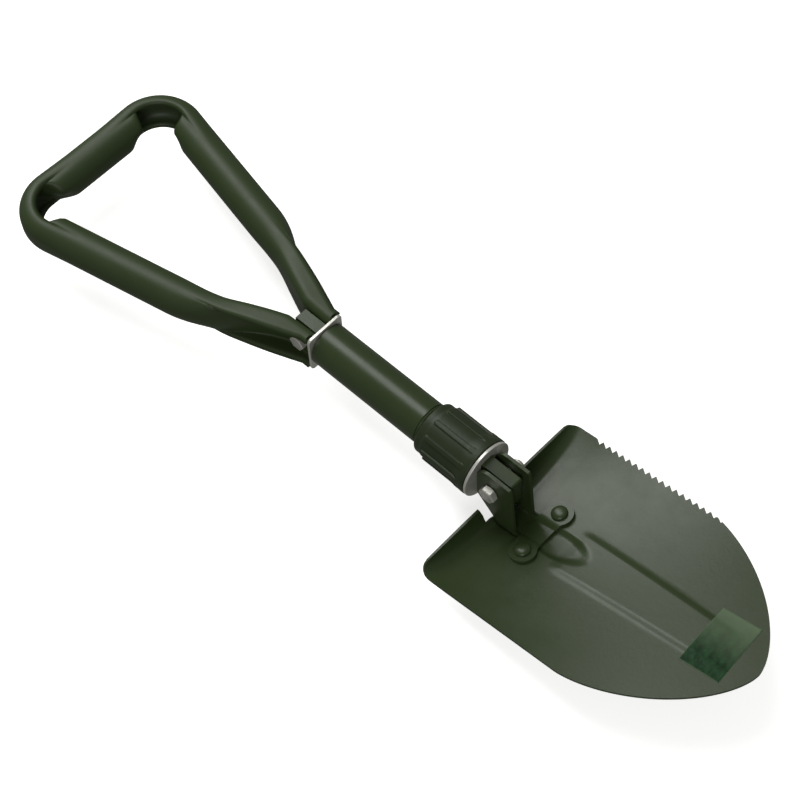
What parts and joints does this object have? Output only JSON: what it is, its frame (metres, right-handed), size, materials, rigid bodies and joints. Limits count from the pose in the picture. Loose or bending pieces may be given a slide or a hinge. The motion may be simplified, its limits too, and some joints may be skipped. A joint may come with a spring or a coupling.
{
  "type": "folding camp shovel",
  "caption": "Tri-fold camp shovel: dished blade with one saw edge on a riveted hinge bracket, tube sleeve with threaded locking collar, and a folding triangular tube handle.",
  "frame": {"origin": "under the middle of the opened-out shovel, at the level of its lowest point", "axes": "+X from the grip towards the blade tip, +Y towards the saw edge, +Z out of the blade's hollow face, up"},
  "size_m": [0.4366, 0.1116, 0.0442],
  "materials": {
    "olive_paint": "semi-gloss olive green paint on pressed steel",
    "olive_cast": "semi-gloss olive green paint on a cast collar",
    "zinc_plate": "bright zinc plating"
  },
  "bodies": {
    "core": {"draw_bar": "olive_paint", "hinge_bolt": "zinc_plate", "hinge_nut": "zinc_plate", "hinge_spacer_left": "zinc_plate", "hinge_spacer_right": "zinc_plate", "handle_bolt": "zinc_plate", "handle_nut": "zinc_plate"},
    "sleeve": {"main_tube": "olive_paint", "pressure_plate": "zinc_plate"},
    "disc": {"thrust_disc": "zinc_plate"},
    "collar": {"locking_collar": "olive_cast"},
    "blade": {"blade": "olive_paint", "blade_bracket": "olive_paint", "rivet_left": "olive_paint", "rivet_right": "olive_paint"},
    "handle": {"grip_handle": "olive_paint"}
  },
  "joints": [
    {"name": "blade_fold", "type": "hinge", "parent": "core", "child": "blade", "pos_m": [0.07085, 0, 0.02901], "axis": [0, -1, 0], "range_deg": [0, 170]},
    {"name": "handle_fold", "type": "hinge", "parent": "core", "child": "handle", "pos_m": [-0.05215, 0, 0.02901], "axis": [0, 1, 0], "range_deg": [0, 180]},
    {"name": "sleeve_slide", "type": "slide", "parent": "core", "child": "sleeve", "axis": [1, 0, 0], "range_m": [0, 0.0199]},
    {"name": "disc_slide", "type": "slide", "parent": "core", "child": "disc", "axis": [-1, 0, 0], "range_m": [0, 0.01009]},
    {"name": "collar_turn", "type": "hinge", "parent": "disc", "child": "collar", "pos_m": [0.05085, 0, 0.02901], "axis": [1, 0, 0], "continuous": true}
  ],
  "couplings": [
    {"joint": "sleeve_slide", "follows": "handle_fold", "m_per_rad": 0.0063337},
    {"joint": "disc_slide", "follows": "blade_fold", "m_per_rad": 0.0034003}
  ]
}
